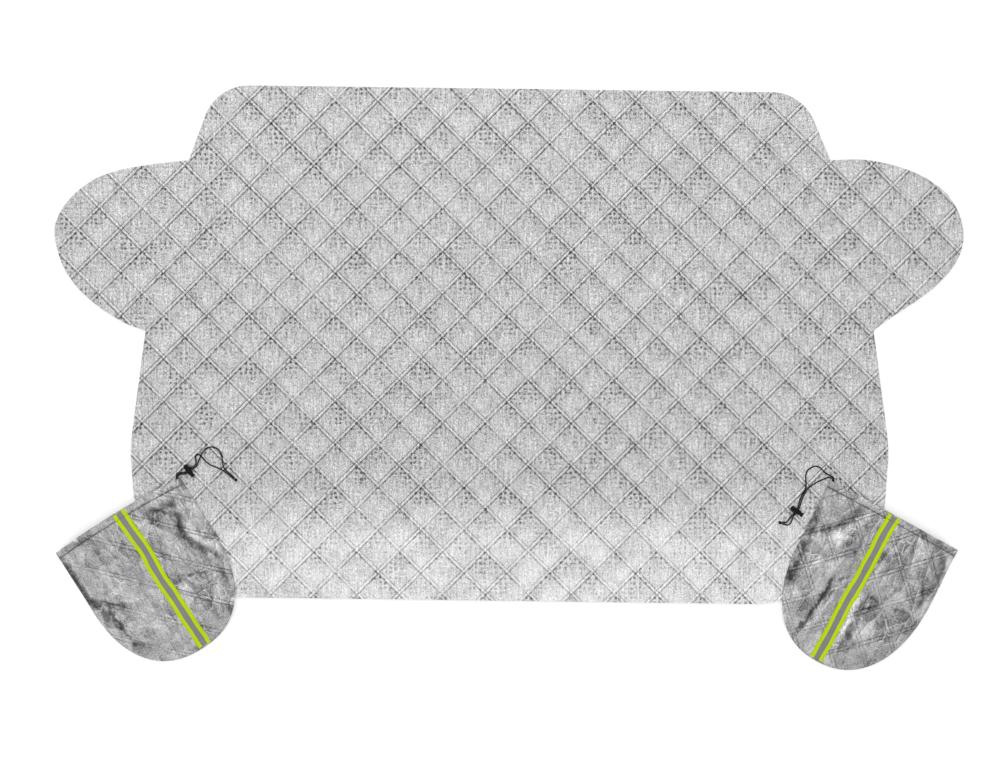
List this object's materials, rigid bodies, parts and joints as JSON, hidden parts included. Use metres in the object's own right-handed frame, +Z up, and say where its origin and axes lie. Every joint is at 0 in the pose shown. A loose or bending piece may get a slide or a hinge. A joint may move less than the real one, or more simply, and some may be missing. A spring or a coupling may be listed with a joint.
{
  "type": "windshield frost cover",
  "caption": "Silver quilted windshield cover with two door flaps, lying flat, with two mirror pouches that have high-visibility tape, drawcords and cord locks.",
  "frame": {"origin": "middle of the box round the cover and pouches, on the surface that they lie on", "axes": "+X across the cover towards its right ear, +Y towards the roof edge, +Z up"},
  "size_m": [2.1482, 1.3811, 0.0285],
  "materials": {
    "silver_foil": "aluminised quilted fabric with a speckled emboss",
    "crumpled_foil": "aluminised fabric, crumpled",
    "lime_tape": "matte high-visibility lime",
    "reflective_strip": "retroreflective silver-grey",
    "black_plastic": "moulded, semi-matte",
    "black_cord": "braided cord",
    "spring_steel": "drawn wire"
  },
  "bodies": {
    "cover": {"quilted_cover": "silver_foil", "left_mirror_pouch": "crumpled_foil", "left_lime_tape": "lime_tape", "left_reflective_strip": "reflective_strip", "left_lock_barrel": "black_plastic", "left_lock_spring": "spring_steel", "left_drawcord_a": "black_cord", "left_drawcord_b": "black_cord", "left_cord_knot": "black_cord", "right_mirror_pouch": "crumpled_foil", "right_lime_tape": "lime_tape", "right_reflective_strip": "reflective_strip", "right_lock_barrel": "black_plastic", "right_lock_spring": "spring_steel", "right_drawcord_a": "black_cord", "right_drawcord_b": "black_cord", "right_cord_knot": "black_cord"},
    "left_lock_button": {"left_lock_plunger": "black_plastic"},
    "right_lock_button": {"right_lock_plunger": "black_plastic"}
  },
  "joints": [
    {"name": "left_lock_press", "type": "slide", "parent": "cover", "child": "left_lock_button", "axis": [-0.6157, 0.788, 0], "range_m": [0, 0.004], "stiffness_N_per_m": 700, "springref_m": -0.003, "deforming": ["left_lock_spring"]},
    {"name": "right_lock_press", "type": "slide", "parent": "cover", "child": "right_lock_button", "axis": [-0.81, 0.5864, 0], "range_m": [0, 0.004], "stiffness_N_per_m": 700, "springref_m": -0.003, "deforming": ["right_lock_spring"]}
  ]
}
